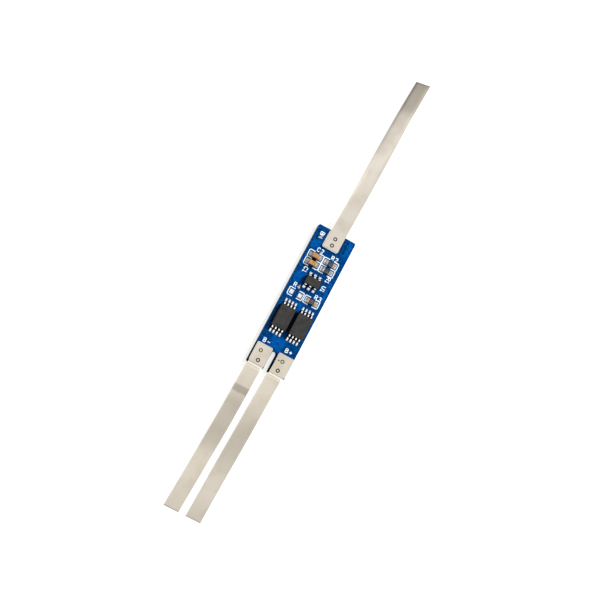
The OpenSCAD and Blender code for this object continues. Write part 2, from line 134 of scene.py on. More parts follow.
class Shader:
    """The node tree of a material or a world under construction."""

    def __init__(self, owner: "Material | bpy.types.World | str") -> None:
        """Starts an empty tree.

        Args:
            owner: a world, or the name of a new material.
        """
        self.owner = bpy.data.materials.new(owner) if isinstance(owner, str) else owner
        self.owner.use_nodes = True
        self.tree = self.owner.node_tree
        self.tree.nodes.clear()

    def node(
        self, kind: str, settings: dict | None = None, sockets: dict | None = None
    ) -> bpy.types.Node:
        """Adds any node.

        Args:
            kind: the node's type, less the ShaderNode that every type starts with.
            settings: its own settings.
            sockets: values or links of its input sockets, by name or number.

        Returns:
            The new node.
        """
        made = self.tree.nodes.new("ShaderNode" + kind)
        for name, value in (settings or {}).items():
            setattr(made, name, value)
        for name, value in (sockets or {}).items():
            value = value.socket if isinstance(value, Value) else value
            if isinstance(value, Socket):
                self.tree.links.new(value, made.inputs[name])
            else:
                opaque = made.inputs[name].type == "RGBA"
                made.inputs[name].default_value = (*value, 1.0) if opaque else value
        return made

    def value(
        self,
        kind: str,
        settings: dict | None = None,
        sockets: dict | None = None,
        output: int | str = 0,
    ) -> Value:
        """Adds a node and wraps one of its outputs as a number."""
        return Value(self, self.node(kind, settings, sockets).outputs[output])

    def part(self, whole: str, axis: Axis) -> Value:
        """One part of a vector that Texture Coordinate gives."""
        vector = self.node("TexCoord").outputs[whole]
        return self.value("SeparateXYZ", None, {0: vector}, axis.value)

    def along(self, axis: Axis) -> Value:
        """One object coordinate in millimetres."""
        return self.part("Object", axis) / MM

    def slope(self, flat: float, steep: float) -> Value:
        """Mask of the faces that lean: 0 where they face up or down, 1 at the sides.

        Args:
            flat: the upright part of a face's direction from which the mask is 0.
            steep: the part below which it is 1.

        Returns:
            The mask.
        """
        return 1 - abs(self.part("Normal", Axis.Z)).step(steep, flat)

    def noise(
        self, size: float, detail: float = 3.0, stretch: Sequence[float] = (1.0, 1.0, 1.0)
    ) -> Value:
        """Noise with grains of about a given size.

        Args:
            size: size of a grain in millimetres.
            detail: octaves of finer grain.
            stretch: how much finer the grain is along each axis.

        Returns:
            The noise, about 0 to 1.
        """
        where = self.node("TexCoord").outputs["Object"]
        mapped = self.node("Mapping", None, {"Vector": where, "Scale": stretch})
        sockets = {"Vector": mapped.outputs[0], "Scale": 1.0 / (size * MM), "Detail": detail}
        return self.value("TexNoise", None, sockets, "Fac")

    def stripe(self, axis: Axis, middle: float, inner: float, outer: float) -> Value:
        """Mask of a stripe: 1 up to the inner distance from its middle, 0 from the outer one."""
        return 1 - abs(self.along(axis) - middle).step(inner, outer)

    def areas(self, places: Sequence[Corners], soft: float) -> Value:
        """Mask of several rectangles on the board together.

        Args:
            places: their lower left and upper right corners in millimetres.
            soft: half the width of their soft edges.

        Returns:
            1 inside any, 0 outside all.
        """
        found: Value | None = None
        for low_x, low_y, high_x, high_y in places:
            half_x, half_y = (high_x - low_x) / 2, (high_y - low_y) / 2
            across = self.stripe(Axis.X, (low_x + high_x) / 2, half_x - soft, half_x + soft)
            patch = across * self.stripe(Axis.Y, (low_y + high_y) / 2, half_y - soft, half_y + soft)
            found = patch if found is None else found.larger(patch)
        return found

    def over(self, amount: Value, first: object, second: object) -> Socket:
        """Mixes two colours.

        Args:
            amount: the share of the second.
            first: a colour or a colour socket.
            second: the same.

        Returns:
            The mixed colour's socket.
        """
        sockets = {0: amount.step(0.0, 1.0), 6: first, 7: second}
        return self.node("Mix", {"data_type": "RGBA"}, sockets).outputs[2]

    def bump(self, height: Value, depth: float) -> Socket:
        """Normal of a relief whose height runs from 0 to 1 over a depth in millimetres."""
        sockets = {"Strength": 1.0, "Distance": depth * MM, "Height": height}
        return self.node("Bump", None, sockets).outputs[0]

    def finish(self, **sockets: object) -> Material:
        """Ends the material in a Principled shader.

        Args:
            **sockets: its inputs, with _ for a space in a name.

        Returns:
            The finished material.
        """
        named = {name.replace("_", " "): value for name, value in sockets.items()}
        surface = self.node("BsdfPrincipled", None, named)
        self.node("OutputMaterial", None, {0: surface.outputs[0]})
        return self.owner


# ---- finishes


@dataclass(frozen=True)
class Band:
    """A soft stripe across a strip: middle, half width and soft edge in mm, and strength."""

    middle: float
    half: float
    soft: float
    strength: float = 1.0

    def mask(self, shader: Shader) -> Value:
        """The stripe's share of the colour at each place."""
        return shader.stripe(Axis.Y, self.middle, self.half - self.soft, self.half) * self.strength


@dataclass(frozen=True)
class RolledNickel:
    """Nickel strip: a warm grey metal with fine rolling lines, bands of painted shade where it mirrors
    darker surroundings, and bands of painted highlight.
    """

    name: str
    painted_shade_bands: tuple[Band, ...]
    bright: Colour = (0.84, 0.775, 0.675)
    dull: Colour = (0.77, 0.7, 0.6)
    # painted shade: the colour that the shade bands, the crease and the cut end are darkened towards
    dark: Colour = (0.42, 0.38, 0.31)
    # painted highlight: the colour that the gleam bands are lightened towards
    painted_highlight: Colour = (1.0, 0.97, 0.88)
    # ends: lines of painted shade, at a crease or at a cut end
    ends: tuple[Band, ...] = ()
    gleams: tuple[Band, ...] = ()
    roughness: float = 0.27
    relief: float = 0.0025

    def material(self) -> Material:
        """Makes the finish's nodes.

        Returns:
            The new material.
        """
        s = Shader(self.name)
        lines = s.noise(0.12, 2.0, (1.0, 0.02, 1.0))
        cloud = s.noise(3.2, 2.0)
        colour = s.over(cloud.step(0.35, 0.75), self.bright, self.dull)
        # painted shade bands and lines, then painted highlights, laid over the metal's own tone
        for band in self.painted_shade_bands + self.ends:
            colour = s.over(band.mask(s), colour, self.dark)
        for gleam in self.gleams:
            colour = s.over(gleam.mask(s), colour, self.painted_highlight)
        return s.finish(
            Base_Color=colour,
            Metallic=1.0,
            Roughness=self.roughness + 0.08 * cloud + 0.05 * lines,
            Normal=s.bump(lines + 0.6 * s.noise(0.9, 1.0), self.relief),
        )


@dataclass(frozen=True)
class CellNickel(RolledNickel):
    """A cell strip's warmer nickel, with a painted highlight on the bend over the leg and lines of
    painted shade at the crease before it and at the cut end.
    """

    bright: Colour = (0.84, 0.768, 0.65)
    dull: Colour = (0.77, 0.692, 0.575)
    # painted shade: a dark line at the crease over the leg's end and one at the cut end
    ends: tuple[Band, ...] = (Band(-13.62, 0.15, 0.15, 0.6), Band(-42.36, 0.17, 0.1, 0.8))
    # painted highlight on the slope of the bend over the leg's end
    gleams: tuple[Band, ...] = (Band(-14.05, 0.38, 0.114),)


@dataclass(frozen=True)
class WeldMark:
    """Ring that the welding electrodes leave: heat-tinted metal."""

    name: str
    dark: Colour
    light: Colour
    grain: float = 0.12
    relief: float = 0.008

    def material(self) -> Material:
        """Makes the finish's nodes.

        Returns:
            The new material.
        """
        s = Shader(self.name)
        grain = s.noise(self.grain)
        return s.finish(
            Base_Color=s.over(grain.step(0.3, 0.7), self.dark, self.light),
            Metallic=1.0,
            Roughness=0.42 + 0.2 * grain,
            Normal=s.bump(grain, self.relief),
        )


@dataclass(frozen=True)
class TinnedMetal:
    """Tin or solder: bright, slightly lumpy, with a soft frosting; it can carry painted shade on its
    steeper faces and a painted glow on its flatter ones.
    """

    name: str
    colour: Colour
    frosted: Colour
    roughness: float
    relief: float = 0.01
    speckle: float = 0.35
    # share of painted shade on the steeper faces, towards the shade colour below
    steep: float = 0.0
    shade: Colour = (0.03, 0.035, 0.04)
    # strength of a painted glow on the faces that face up or down
    glow: float = 0.0

    def material(self) -> Material:
        """Makes the finish's nodes.

        Returns:
            The new material.
        """
        s = Shader(self.name)
        lump = s.noise(self.speckle, 2.0)
        frost = s.noise(0.08, 2.0)
        colour = s.over(lump.step(0.35, 0.7), self.colour, self.frosted)
        slope = s.slope(0.98, 0.88)
        return s.finish(
            # painted shade where the faces lean
            Base_Color=s.over(slope * self.steep, colour, self.shade),
            Metallic=1.0,
            # painted glow on the flatter faces
            Emission_Color=s.over(slope, self.colour, (0.0, 0.0, 0.0)),
            Emission_Strength=self.glow,
            Roughness=self.roughness + 0.12 * frost,
            Normal=s.bump(lump + 0.2 * frost, self.relief),
        )


@dataclass(frozen=True)
class ChipEnd(TinnedMetal):
    """Metal end of a chip part: finely speckled and frosted."""

    roughness: float = 0.3
    speckle: float = 0.16


@dataclass(frozen=True)
class SolderMask:
    """Blue solder mask over copper, with bare glass epoxy at the board's edges and painted shadows
    beside the packages, tabs and chip parts.
    """

    name: str
    pours: tuple[Corners, ...]
    # painted shadows: patches that darken the mask to near black where packages, tabs and chip parts
    # cast shade
    painted_shadows: tuple[Corners, ...]
    pour_edge: float = 0.3
    painted_shadow_edge: float = 0.1
    painted_shadow_share: float = 0.92
    over_laminate: Colour = (0.0, 0.04, 0.16)
    over_copper: Colour = (0.0, 0.13, 0.52)
    painted_shadow_colour: Colour = (0.0, 0.004, 0.012)
    resin: Colour = (0.085, 0.1, 0.06)
    glass: Colour = (0.17, 0.18, 0.11)
    specular: float = 0.04
    relief: float = 0.03

    def material(self) -> Material:
        """Makes the finish's nodes.

        Returns:
            The new material.
        """
        s = Shader(self.name)
        copper = s.areas(self.pours, self.pour_edge)
        shadow_mask = s.areas(self.painted_shadows, self.painted_shadow_edge)
        cloud = s.noise(0.5, 5.0)
        weave = s.noise(0.25, 1.0, (1.0, 0.35, 1.0))
        tone = 0.3 + copper * 0.38 + (cloud - 0.5) * 1.8
        clean = s.over(tone, self.over_laminate, self.over_copper)
        # painted shadow laid over the mask's blue
        blue = s.over(shadow_mask * self.painted_shadow_share, clean, self.painted_shadow_colour)
        layers = s.noise(0.1, 1.0, (0.06, 0.06, 1.0))
        edge = s.over(layers.step(0.3, 0.7), self.resin, self.glass)
        upright = s.slope(0.7, 0.3)
        return s.finish(
            Base_Color=s.over(upright, blue, edge),
            Roughness=0.3 + 0.12 * weave + 0.35 * upright,
            Specular_IOR_Level=self.specular,
            Normal=s.bump(copper + 0.12 * weave, self.relief),
        )


@dataclass(frozen=True)
class PlainMould:
    """Moulding compound, ceramic or ink: a matt solid with fine grain; it can carry painted shade on
    its leaning sides and a painted glow.
    """

    name: str
    first: Colour
    second: Colour
    roughness: float
    grain: float = 0.12
    relief: float = 0.004
    specular: float = 0.4
    # share of painted shade on the leaning sides, towards the shade colour below
    steep: float = 0.0
    shade: Colour = (0.001, 0.001, 0.001)
    # strength of a painted glow in the second colour
    glow: float = 0.0

    def material(self) -> Material:
        """Makes the finish's nodes.

        Returns:
            The new material.
        """
        s = Shader(self.name)
        fine = s.noise(self.grain)
        cloud = s.noise(self.grain * 9, 2.0)
        colour = s.over(fine * 0.4 + cloud.step(0.3, 0.7) * 0.6, self.first, self.second)
        slope = s.slope(0.95, 0.6) * self.steep
        return s.finish(
            # painted shade on the leaning sides
            Base_Color=s.over(slope, colour, self.shade),
            Roughness=self.roughness + 0.12 * fine + 0.3 * slope,
            Specular_IOR_Level=self.specular,
            # painted glow
            Emission_Color=self.second,
            Emission_Strength=self.glow,
            Normal=s.bump(fine, self.relief),
        )


class Finish(Enum):
    """Every finish of the board, made once and shared by its pieces."""

    # The nickel strips' bands are painted shade: darker stretches where the bent and rolled metal
    # mirrors darker surroundings.
    NICKEL = RolledNickel(
        "rolled_nickel",
        (
            Band(44.6, 6.6, 3.2, 0.56),
            Band(46.6, 3.4, 3.2, 0.5),
            Band(33.4, 1.5, 1.2, 0.16),
            Band(19.2, 0.8, 0.7, 0.12),
            Band(15.2, 1.6, 1.4, 0.1),
        ),
    )
    NEG_NICKEL = CellNickel(
        "negative_strip_nickel",
        (Band(-18.75, 1.0, 0.6, 0.66), Band(-25.0, 8.5, 5.0, 0.5), Band(-41.0, 9.0, 9.0, 0.3)),
    )
    POS_NICKEL = CellNickel(
        "positive_strip_nickel", (Band(-27.0, 13.5, 13.0, 0.5), Band(-41.5, 8.0, 8.0, 0.36))
    )
    WELD = WeldMark("weld_mark", (0.035, 0.03, 0.022), (0.12, 0.1, 0.07))
    TINTED_WELD = WeldMark("tinted_weld", (0.2, 0.12, 0.04), (0.5, 0.38, 0.18))
    # the pads and the solder below carry a painted glow
    PAD = TinnedMetal("tinned_copper", (0.97, 0.97, 0.95), (0.84, 0.84, 0.83), 0.24, glow=0.08)
    SOLDER = TinnedMetal(
        "bright_solder", (0.95, 0.96, 0.98), (0.76, 0.77, 0.79), 0.2, relief=0.016, glow=0.1
    )
    # painted shade on the leads' bends, where they would mirror the dark board, and a painted glow
    LEAD = TinnedMetal("tinned_lead", (0.97, 0.97, 0.98), (0.9, 0.9, 0.92), 0.26, steep=0.94, glow=0.2)
    JOINT = TinnedMetal(
        "chip_joint", (0.84, 0.86, 0.86), (0.12, 0.13, 0.12), 0.24, relief=0.016, speckle=0.2
    )
    END = ChipEnd("chip_end", (0.85, 0.77, 0.76), (0.2, 0.17, 0.16))
    WARM_END = ChipEnd("warm_chip_end", (0.85, 0.66, 0.56), (0.3, 0.2, 0.15))
    TAN_END = ChipEnd("browned_chip_end", (0.8, 0.6, 0.42), (0.3, 0.18, 0.1))
    # the capacitors' two ends are one tin finish, painted darker as shade on the left end and paler as
    # light on the right end
    DARK_END = ChipEnd("dark_capacitor_end", (0.42, 0.38, 0.28), (0.1, 0.09, 0.06))
    PALE_END = ChipEnd("pale_capacitor_end", (0.95, 0.9, 0.76), (0.5, 0.46, 0.36))
    MASK = SolderMask(
        "blue_solder_mask",
        pours=(
            (-1.55, -9.7, 0.85, -7.5), (-3.3, 2.6, -1.6, 4.7), (2.65, 10.6, 3.5, 13.5),
            (-3.4, 9.6, -2.0, 11.2), (-0.35, -1.7, 0.55, -0.4), (2.9, 1.6, 3.35, 5.6),
            (-3.5, -6.9, -3.25, -1.2),
        ),
        painted_shadows=(
            # painted shadows beside the packages, the tabs and the chip parts
            (-3.3, -5.9, -2.85, -2.2), (-0.2, -6.0, 0.5, -2.1), (-3.0, -6.95, -0.25, -5.7),
            (0.4, -6.95, 3.2, -5.7), (-2.9, -2.2, -0.4, -1.35), (0.5, -2.2, 3.1, -1.35),
            (-3.9, -14.0, -3.4, -9.95), (1.5, 11.2, 1.8, 13.9), (0.3, -14.0, 0.9, -10.1),
            (-1.35, 2.9, 1.35, 5.25), (-2.3, 7.45, -0.7, 7.9), (1.15, 0.45, 2.0, 1.1),
        ),
    )
    MOULD = PlainMould(
        # the compound's dark grey, partly lightened as painted sheen in place of the lamp's reflection
        "moulding_compound", (0.03, 0.03, 0.031), (0.055, 0.053, 0.048), 0.5,
        # steep: painted shade on the bodies' leaning sides
        relief=0.006, specular=0.35, steep=1.0,
    )
    CERAMIC = PlainMould("tan_ceramic", (0.52, 0.23, 0.055), (0.74, 0.44, 0.19), 0.4, 0.05)
    ALUMINA = PlainMould("white_alumina", (0.72, 0.7, 0.65), (0.8, 0.78, 0.74), 0.5)
    COAT = PlainMould("resistor_coat", (0.006, 0.014, 0.04), (0.13, 0.14, 0.15), 0.3, 0.05)
    BROWN_COAT = PlainMould("brown_resistor_coat", (0.04, 0.015, 0.01), (0.22, 0.12, 0.09), 0.3, 0.05)
    # painted glow keeps the print bright white
    INK = PlainMould("white_ink", (0.82, 0.95, 1.0), (0.88, 0.97, 1.0), 0.6, relief=0.003, glow=0.3)
    # painted shade: near-black rings stand in for the shade in the via holes
    PLUG = PlainMould("via_plug", (0.0, 0.006, 0.02), (0.0, 0.02, 0.05), 0.5, specular=0.1)

    @cached_property
    def material(self) -> Material:
        """The finish's material, made at its first use."""
        return self.value.material()


# ---- workbench


class Bench:
    """Modelling steps that the pieces share."""

    @staticmethod
    def clear() -> None:
        """Deselects every object and leaves edit mode."""
        if bpy.context.object and bpy.context.object.mode != "OBJECT":
            bpy.ops.object.mode_set(mode="OBJECT")
        bpy.ops.object.select_all(action="DESELECT")

    @classmethod
    def activate(cls, piece: Piece) -> None:
        """Selects one object alone and makes it the active one.

        Args:
            piece: the object.
        """
        cls.clear()
        piece.select_set(True)
        bpy.context.view_layer.objects.active = piece

    @staticmethod
    def settle(name: str, scale: Sequence[float] = (1.0, 1.0, 1.0)) -> Piece:
        """Names the active object and puts its place, turn and scale into its mesh.

        Args:
            name: its new name.
            scale: its new scale.

        Returns:
            The object.
        """
        piece = bpy.context.object
        piece.name = piece.data.name = name
        piece.scale = scale
        bpy.ops.object.transform_apply(location=True, rotation=True, scale=True)
        return piece

    @classmethod
    def add(
        cls,
        primitive: Callable[..., object],
        name: str,
        scale: Sequence[float] = (1.0, 1.0, 1.0),
        **settings: object,
    ) -> Piece:
        """Adds a primitive.

        Args:
            primitive: the operator that adds it.
            name: the piece's name.
            scale: its scale along each axis.
            **settings: the operator's settings.

        Returns:
            The new object, unturned and unscaled.
        """
        cls.clear()
        primitive(**settings)
        return cls.settle(name, scale)

    @staticmethod
    def dress(piece: Piece, finish: Finish) -> None:
        """Gives a piece one finish alone."""
        piece.data.materials.clear()
        piece.data.materials.append(finish.material)

    @classmethod
    def block(cls, name: str, low: Vector, high: Vector) -> Piece:
        """Adds a cube at its size and place.

        Args:
            name: the piece's name.
            low: its lowest corner in metres.
            high: its highest corner in metres.

        Returns:
            The new object, unturned and unscaled.
        """
        cube = bpy.ops.mesh.primitive_cube_add
        return cls.add(cube, name, high - low, size=1.0, location=(low + high) / 2)

    @classmethod
    def choose_all(cls, piece: Piece) -> None:
        """Opens a mesh in edit mode with all of it selected.

        Args:
            piece: the object.
        """
        cls.activate(piece)
        bpy.context.tool_settings.mesh_select_mode = Part.VERTEX.value
        bpy.ops.object.mode_set(mode="EDIT")
        bpy.ops.mesh.select_all(action="SELECT")

    @classmethod
    def choose(cls, piece: Piece, part: Part, test: Callable[[Vector], bool]) -> None:
        """Opens a mesh in edit mode with some edges or faces selected.

        Args:
            piece: the object.
            part: edges or faces.
            test: takes a part's middle in millimetres and says whether it is wanted.
        """
        cls.activate(piece)
        mesh = piece.data
        for group in (mesh.vertices, mesh.edges, mesh.polygons):
            group.foreach_set("select", [False] * len(group))
        for one in mesh.edges if part is Part.EDGE else mesh.polygons:
            corners = [mesh.vertices[i].co for i in one.vertices]
            one.select = test(sum(corners, Vector()) / (len(corners) * MM))
        bpy.context.tool_settings.mesh_select_mode = part.value
        bpy.ops.object.mode_set(mode="EDIT")

    @classmethod
    def modify(cls, piece: Piece, kind: str, **settings: object) -> None:
        """Adds a modifier and applies it.

        Args:
            piece: the object.
            kind: the modifier's type.
            **settings: the modifier's settings.
        """
        cls.activate(piece)
        made = piece.modifiers.new(kind.lower(), kind)
        for name, value in settings.items():
            setattr(made, name, value)
        bpy.ops.object.modifier_apply(modifier=made.name)

    @classmethod
    def round_edges(cls, piece: Piece, width: float, segments: int = 3, degrees: float = 30.0) -> None:
        """Rounds the edges that are sharper than an angle.

        Args:
            piece: the object.
            width: width of the rounding in millimetres.
            segments: its faces across.
            degrees: the angle.
        """
        limit = {"limit_method": "ANGLE", "angle_limit": math.radians(degrees)}
        cls.modify(piece, "BEVEL", width=width * MM, segments=segments, **limit)

    @classmethod
    def carve(cls, piece: Piece, tool: Piece) -> None:
        """Cuts a tool out of a piece and removes the tool.

        Args:
            piece: the object, which takes the tool's material at the cut.
            tool: a closed object.
        """
        how = {"operation": "DIFFERENCE", "solver": "EXACT", "material_mode": "TRANSFER"}
        cls.modify(piece, "BOOLEAN", object=tool, **how)
        bpy.data.objects.remove(tool)

    @classmethod
    def smooth(cls, piece: Piece, degrees: float = 40.0) -> None:
        """Shades a piece smooth except at its sharp edges, large faces staying flat.

        Args:
            piece: the object.
            degrees: the angle from which an edge is sharp.
        """
        cls.activate(piece)
        bpy.ops.object.shade_smooth_by_angle(angle=math.radians(degrees))
        cls.modify(piece, "WEIGHTED_NORMAL", keep_sharp=True, weight=80)

    @classmethod
    def clean(cls, piece: Piece) -> None:
        """Merges doubles and turns every face outwards.

        Args:
            piece: the object.
        """
        cls.choose_all(piece)
        bpy.ops.mesh.remove_doubles(threshold=NEAR * MM)
        bpy.ops.mesh.normals_make_consistent(inside=False)
        bpy.ops.object.mode_set(mode="OBJECT")

    @classmethod
    def twin(cls, piece: Piece, name: str, shift: Vector, turn: float = 0.0) -> Piece:
        """Copies a piece with its own mesh.

        Args:
            piece: the piece to copy, which stands at the origin.
            name: the copy's name.
            shift: the copy's place in metres.
            turn: its turn about the upright axis in degrees.

        Returns:
            The copy, unturned and unscaled.
        """
        copy = piece.copy()
        copy.data = piece.data.copy()
        bpy.context.scene.collection.objects.link(copy)
        copy.location = shift
        copy.rotation_euler = (0.0, 0.0, math.radians(turn))
        cls.activate(copy)
        return cls.settle(name)

    @classmethod
    def hand_over(cls, piece: Piece, finish: Finish, slot: str, node: str = "") -> None:
        """Dresses a new piece and seats it in the frame.

        Args:
            piece: the new piece.
            finish: its finish, unless it has been dressed before.
            slot: not used.
            node: the CAD node that it stands for, if any.
        """
        if not piece.data.materials:
            cls.dress(piece, finish)
        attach(piece, "root")
        if node:
            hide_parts(node)
        log.info("%s: %d faces", piece.name, len(piece.data.polygons))


# ---- sub-assemblies


@dataclass(frozen=True)
class Station:
    """One place along a strip: distance, height and sideways place in mm, roll in degrees."""

    along: float
    height: float
    side: float = 0.0
    roll: float = 0.0


class Ribbon:
    """Flat metal laid along stations by extruding one edge from each to the next."""

    @staticmethod
    def lay(
        name: str, places: Sequence[Station], width: float, thickness: float, columns: int
    ) -> Piece:
        """Lays a ribbon and gives it its thickness.

        Args:
            name: the piece's name.
            places: the stations of the ribbon's middle.
            width: its width in millimetres.
            thickness: its thickness in millimetres.
            columns: faces across its width.

        Returns:
            The closed ribbon.
        """
        first, second = places[:2]
        middle = place(first.side, (first.along + second.along) / 2, first.height)
        piece = Bench.add(
            bpy.ops.mesh.primitive_grid_add,
            name,
            (width * MM, abs(second.along - first.along) * MM, 1.0),
            x_subdivisions=columns,
            y_subdivisions=1,
            size=1.0,
            location=middle,
        )
        Bench.choose(piece, Part.EDGE, lambda at: abs(at.y - second.along) < NEAR)
        bpy.ops.transform.translate(value=((second.side - first.side) * MM, 0, 0))
        for before, after in zip(places[1:], places[2:]):
            way = place(
                after.side - before.side, after.along - before.along, after.height - before.height
            )
            bpy.ops.mesh.extrude_region_move(TRANSFORM_OT_translate={"value": way})
            if after.roll != before.roll:
                bpy.ops.transform.rotate(
                    value=math.radians(after.roll - before.roll),
                    orient_axis="Y",
                    center_override=place(after.side, after.along, after.height),
                )
        walls = {"thickness": thickness * MM, "offset": 0.0, "use_even_offset": True}
        Bench.modify(piece, "SOLIDIFY", **walls)
        Bench.clean(piece)
        return piece


@dataclass(frozen=True)
class Weld:
    """A weld spot: its place on the board, its ring's finish and its diameter in mm."""

    x: float
    y: float
    finish: Finish = Finish.WELD
    size: float = 0.78


@dataclass
class NickelStrip:
    """A flat strip that is laid along stations and welded to its tab."""

    node: str
    finish: Finish
    welds: tuple[Weld, ...]
    top: float
    width: float = 2.9
    thickness: float = 0.15
    edge: float = 0.02
    columns: int = 4
    ring_radius: float = 0.36  # as a share of the weld's diameter
    ring_section: float = 0.095
    ring_limit: float = 0.3  # the section's upper limit as a share of the diameter

    def stations(self) -> list[Station]:
        """The strip's stations, from its welded end to its free end."""
        raise NotImplementedError

    def build(self) -> None:
        """Lays, bevels and welds the strip."""
        name = self.node + "_laid"
        piece = Ribbon.lay(name, self.stations(), self.width, self.thickness, self.columns)
        Bench.round_edges(piece, self.edge, 2, 50.0)
        Bench.dress(piece, self.finish)
        for weld in self.welds:
            Bench.carve(piece, self.ring(weld))
        Bench.smooth(piece, 35.0)
        Bench.hand_over(piece, self.finish, "nickel", self.node)

    def ring(self, weld: Weld) -> Piece:
        """Tool that cuts the ring of a weld spot.

        Args:
            weld: the spot.

        Returns:
            A closed ring with a round section.
        """
        tool = Bench.add(
            bpy.ops.mesh.primitive_torus_add,
            "weld_tool",
            location=place(weld.x, weld.y, self.top),
            major_radius=weld.size * self.ring_radius * MM,
            minor_radius=min(self.ring_section, weld.size * self.ring_limit) * MM,
            major_segments=40,
            minor_segments=10,
        )
        Bench.dress(tool, weld.finish)
        return tool


@dataclass
class LinkStrip(NickelStrip):
    """The strip towards the cell link: a long low arch that rolls onto one edge."""

    start: float = 10.7
    leave: float = 13.9
    flat: float = 0.3
    reach: float = 32.4
    arch: float = 1.1
    lean: float = 0.6
    roll: float = 30.0
    shift: float = 0.1
    drift: float = 0.9
    bow: float = 1.8
    steps: int = 72

    def stations(self) -> list[Station]:
        """Lays out the strip's middle line.

        Returns:
            The stations, from the strip's welded end to its free end.
        """
        mid = self.top - self.thickness / 2
        roll = math.radians(self.roll)
        end = self.width / 2 * math.sin(roll) + self.thickness / 2 * math.cos(roll)
        found = [Station(y, mid, self.shift) for y in (self.start, self.leave - self.flat)]
        for i in range(self.steps + 1):
            u = i / self.steps
            ease = u * u * (3 - 2 * u)
            hump = math.sin(math.pi * u**self.lean) ** 2
            height = mid + (end - mid) * ease + self.arch * hump
            side = self.shift + self.drift * u**self.bow
            found.append(Station(self.leave + u * self.reach, height, side, self.roll * ease))
        return found


@dataclass
class CellStrip(NickelStrip):
    """A strip towards a cell pole: over the leg's end in two bends, then along the ground."""

    side: float = 0.0
    inner: float = -9.95
    leg: float = -13.9
    flat: float = 0.15
    reach: float = 28.5
    drift: float = -1.0
    bow: float = 1.6
    bend: float = 0.25
    slope: float = 80.0
    clearance: float = 0.06
    board: float = 1.0
    arch: float = 0.3
    arch_start: float = 0.05
    arch_share: float = 0.7
    turns: int = 10
    steps: int = 56

    def sideways(self, out: float) -> float:
        """Sideways place of the strip's middle.

        Args:
            out: distance beyond the leg's end in millimetres.

        Returns:
            The place in millimetres.
        """
        on_leg = self.inner - self.leg
        share = max(0.0, (out + on_leg) / (self.reach + on_leg))
        return self.side + self.drift * share**self.bow

    def stations(self) -> list[Station]:
        """Lays out the strip's middle line.

        Returns:
            The stations, from the strip's welded end to its free end.
        """
        low = self.thickness / 2
        mid = self.top - low
        drop = mid - low
        steep = math.radians(self.slope)
        across = (self.board - drop - low + self.bend) * math.cos(steep)
        start = (self.clearance - self.bend + low + across) / math.sin(steep)
        straight = (drop - 2 * self.bend * (1 - math.cos(steep))) / math.tan(steep)
        end = start + 2 * self.bend * math.sin(steep) + straight
        turn = [steep * i / self.turns for i in range(self.turns + 1)]
        arc = [(self.bend * math.sin(a), self.bend * (1 - math.cos(a))) for a in turn]
        path = [(start - self.flat, mid)]
        path += [(start + run, mid - rise) for run, rise in arc]
        path += [(end - run, low + rise) for run, rise in reversed(arc)]
        for i in range(1, self.steps + 1):
            u = i / self.steps
            v = (u - self.arch_start) / self.arch_share
            hump = math.sin(math.pi * v) ** 2 if 0 < v < 1 else 0.0
            path.append((end + u * (self.reach - end), low + self.arch * hump))
        on_leg = [Station(self.inner, mid, self.side)]
        return on_leg + [Station(self.leg - out, z, self.sideways(out)) for out, z in path]


@dataclass
class MouldedPackage:
    """A moulded body with leaning sides, a parting line, soft edges and a pin 1 dimple."""

    node: str
    draft: float = 12.0
    lead_band: float = 0.15
    edge: float = 0.045
    dimple: float = 0.5
    dimple_depth: float = 0.05

    def build(self) -> None:
        """Shapes the body over its CAD node's box."""
        low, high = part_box(self.node)
        body = Bench.block(self.node + "_moulding", low, high)
        bottom, top = low.z / MM, high.z / MM
        band = ((high.z - low.z) / MM - self.lead_band) / 2
        inset = band * math.tan(math.radians(self.draft))
        for level in (bottom + band, top - band):
            Bench.choose_all(body)
            plane = {"plane_co": (0, 0, level * MM), "plane_no": (0, 0, 1)}
            bpy.ops.mesh.bisect(use_fill=False, **plane)
        middle = (low + high) / 2
        size = (high - low) / MM
        for level in (bottom, top):
            Bench.choose(body, Part.FACE, lambda at: abs(at.z - level) < NEAR)
            bpy.ops.transform.resize(
                value=(1 - 2 * inset / size.x, 1 - 2 * inset / size.y, 1.0),
                center_override=(middle.x, middle.y, level * MM),
            )
        Bench.round_edges(body, self.edge)
        Bench.dress(body, Finish.MOULD)
        corner = inset + self.dimple
        offset = place(corner, corner, self.dimple / 2 - self.dimple_depth)
        tool = Bench.add(
            bpy.ops.mesh.primitive_uv_sphere_add,
            "dimple_tool",
            segments=32,
            ring_count=16,
            radius=self.dimple / 2 * MM,
            location=Vector((low.x, low.y, high.z)) + offset,
        )
        Bench.dress(tool, Finish.MOULD)
        Bench.carve(body, tool)
        Bench.smooth(body, 35.0)
        Bench.hand_over(body, Finish.MOULD, "mould", self.node)


@dataclass
class SolderFillet:
    """Solder that rises in a hollow curve to an upright metal end."""

    width: float
    reach: float
    height: float
    roundness: float = 1.1
    edge: float = 0.12

    def shape(self, wall: float, ground: float) -> Piece:
        """Shapes the fillet against a wall that faces +Y.

        Args:
            wall: the wall's distance along Y in millimetres.
            ground: height of the pad in millimetres.

        Returns:
            The fillet, its middle at X 0.
        """
        high = place(self.width / 2, wall + self.reach, ground + self.height)
        fillet = Bench.block("fillet", place(-self.width / 2, wall, ground), high)
        radius = max(self.reach, self.height) * self.roundness
        hollow = Bench.add(
            bpy.ops.mesh.primitive_cylinder_add,
            "hollow",
            vertices=64,
            radius=radius * MM,
            depth=self.width * 2 * MM,
            location=place(0.0, wall + radius, ground + radius),
            rotation=(0.0, math.pi / 2, 0.0),
        )
        Bench.carve(fillet, hollow)
        fillet.data.materials.clear()
        Bench.round_edges(fillet, min(self.reach, self.height) * self.edge, 2, 60.0)
        Bench.smooth(fillet)
        return fillet


